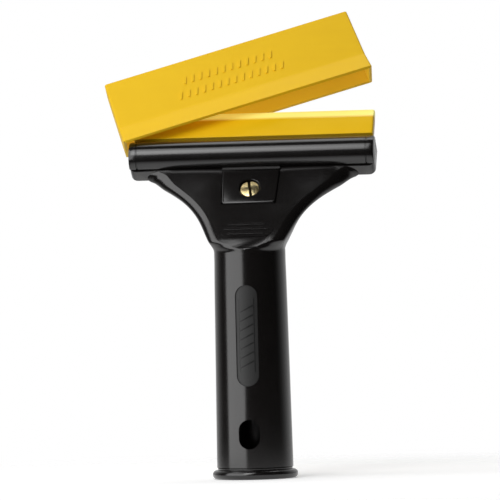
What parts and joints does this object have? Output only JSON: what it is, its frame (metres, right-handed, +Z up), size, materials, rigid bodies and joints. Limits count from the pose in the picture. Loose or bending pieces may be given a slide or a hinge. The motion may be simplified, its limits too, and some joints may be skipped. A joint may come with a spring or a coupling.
{
  "type": "window scraper",
  "caption": "Hand scraper for window glass: moulded T-handle with a pole socket, screwed clamp bar, steel blade, slip-on edge guard and a deep safety cap.",
  "frame": {"origin": "centre of the pole socket's mouth, on the bottom of the ring that the scraper stands on", "axes": "+Z up the handle's axis towards the blade, X across the blade, front (the clamp side) faces -Y"},
  "size_m": [0.1228, 0.0858, 0.2052],
  "materials": {
    "black_plastic": "glossy moulded black",
    "brass": "turned brass",
    "blade_steel": "ground spring steel",
    "guard_yellow": "satin yellow",
    "cap_yellow": "satin moulded yellow"
  },
  "bodies": {
    "handle": {"handle": "black_plastic", "threaded_insert": "brass"},
    "clamp_plate": {"clamp_plate": "black_plastic"},
    "clamp_screw": {"clamp_screw": "brass"},
    "blade": {"blade": "blade_steel"},
    "edge_guard": {"edge_guard": "guard_yellow"},
    "safety_cap": {"safety_cap": "cap_yellow"}
  },
  "joints": [
    {"name": "clamp_lift", "type": "slide", "parent": "handle", "child": "clamp_plate", "axis": [0, -0.788, 0.6157], "range_m": [0, 0.0008]},
    {"name": "screw_turn", "type": "hinge", "parent": "clamp_plate", "child": "clamp_screw", "pos_m": [0, 0.00501, 0.12632], "axis": [0, -0.788, 0.6157], "range_deg": [0, 360]},
    {"name": "blade_slide", "type": "slide", "parent": "handle", "child": "blade", "axis": [0, 0.6157, 0.788], "range_m": [0, 0.03]},
    {"name": "guard_slide", "type": "slide", "parent": "blade", "child": "edge_guard", "axis": [0, 0.6157, 0.788], "range_m": [0, 0.016]},
    {"name": "cap_lift", "type": "hinge", "parent": "edge_guard", "child": "safety_cap", "pos_m": [-0.057, 0.01977, 0.14521], "axis": [0, -0.788, 0.6157], "range_deg": [-20, 15]}
  ],
  "couplings": [
    {"joint": "screw_turn", "follows": "clamp_lift", "rad_per_m": 7853.9}
  ]
}
